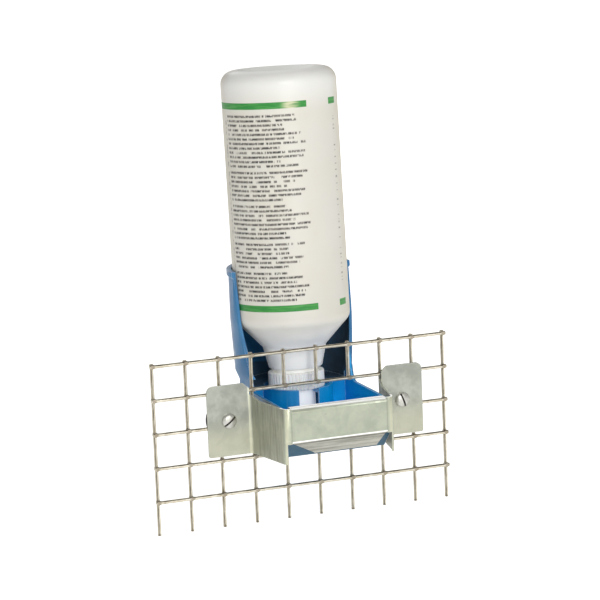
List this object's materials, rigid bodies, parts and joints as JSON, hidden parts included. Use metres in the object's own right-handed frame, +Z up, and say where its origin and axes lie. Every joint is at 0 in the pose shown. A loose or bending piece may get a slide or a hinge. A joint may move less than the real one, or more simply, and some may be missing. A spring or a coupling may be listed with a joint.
{
  "type": "cage drinker bottle",
  "caption": "Inverted 1 litre bottle in a moulded holder with a drinking trough, clamped by a folded strap bracket to a welded mesh panel.",
  "frame": {"origin": "on the trough's flat underside, midway between the two clamp screws and on the middle plane of the mesh panel", "axes": "+X to the right seen from inside the cage, +Y out of the cage through the mesh, +Z up"},
  "size_m": [0.2324, 0.1436, 0.3315],
  "materials": {
    "bottle_plastic": "satin white polyethylene",
    "cap_plastic": "matt white",
    "seal_rubber": "matt pale grey",
    "holder_plastic": "satin blue moulding",
    "galvanised_sheet": "mottled hot-dip zinc",
    "zinc_hardware": "bright zinc plate",
    "washer_black": "black",
    "galvanised_wire": "dull galvanised"
  },
  "bodies": {
    "cage_side": {"panel_horizontal_wires": "galvanised_wire", "panel_vertical_wires": "galvanised_wire", "strap_bracket": "galvanised_sheet", "bottle_holder": "holder_plastic", "left_clamp_screw": "zinc_hardware", "right_clamp_screw": "zinc_hardware"},
    "cap": {"screw_cap": "cap_plastic", "nozzle_tube": "cap_plastic"},
    "seal": {"cap_seal": "seal_rubber"},
    "bottle": {"bottle": "bottle_plastic"},
    "left_washer": {"left_rear_washer": "washer_black"},
    "right_washer": {"right_rear_washer": "washer_black"},
    "left_nut": {"left_wing_nut": "zinc_hardware"},
    "right_nut": {"right_wing_nut": "zinc_hardware"}
  },
  "joints": [
    {"name": "bottle_lift", "type": "slide", "parent": "cage_side", "child": "cap", "axis": [0, 0.0576, 0.9983], "range_m": [0, 0.12]},
    {"name": "thread_travel", "type": "slide", "parent": "cap", "child": "seal", "axis": [0, 0.0576, 0.9983], "range_m": [0, 0.008]},
    {"name": "bottle_turn", "type": "hinge", "parent": "seal", "child": "bottle", "pos_m": [0, 0.036, 0.035], "axis": [0, 0.0576, 0.9983], "range_deg": [0, 720]},
    {"name": "left_nut_travel", "type": "slide", "parent": "cage_side", "child": "left_washer", "axis": [0, 1, 0], "range_m": [0, 0.004]},
    {"name": "left_nut_turn", "type": "hinge", "parent": "left_washer", "child": "left_nut", "pos_m": [-0.0685, 0, 0.025], "axis": [0, 1, 0], "range_deg": [0, 1440]},
    {"name": "right_nut_travel", "type": "slide", "parent": "cage_side", "child": "right_washer", "axis": [0, 1, 0], "range_m": [0, 0.004]},
    {"name": "right_nut_turn", "type": "hinge", "parent": "right_washer", "child": "right_nut", "pos_m": [0.0685, 0, 0.025], "axis": [0, 1, 0], "range_deg": [0, 1440]}
  ],
  "couplings": [
    {"joint": "thread_travel", "follows": "bottle_turn", "m_per_rad": 0.00063662},
    {"joint": "left_nut_turn", "follows": "left_nut_travel", "rad_per_m": 6283.2},
    {"joint": "right_nut_turn", "follows": "right_nut_travel", "rad_per_m": 6283.2}
  ]
}
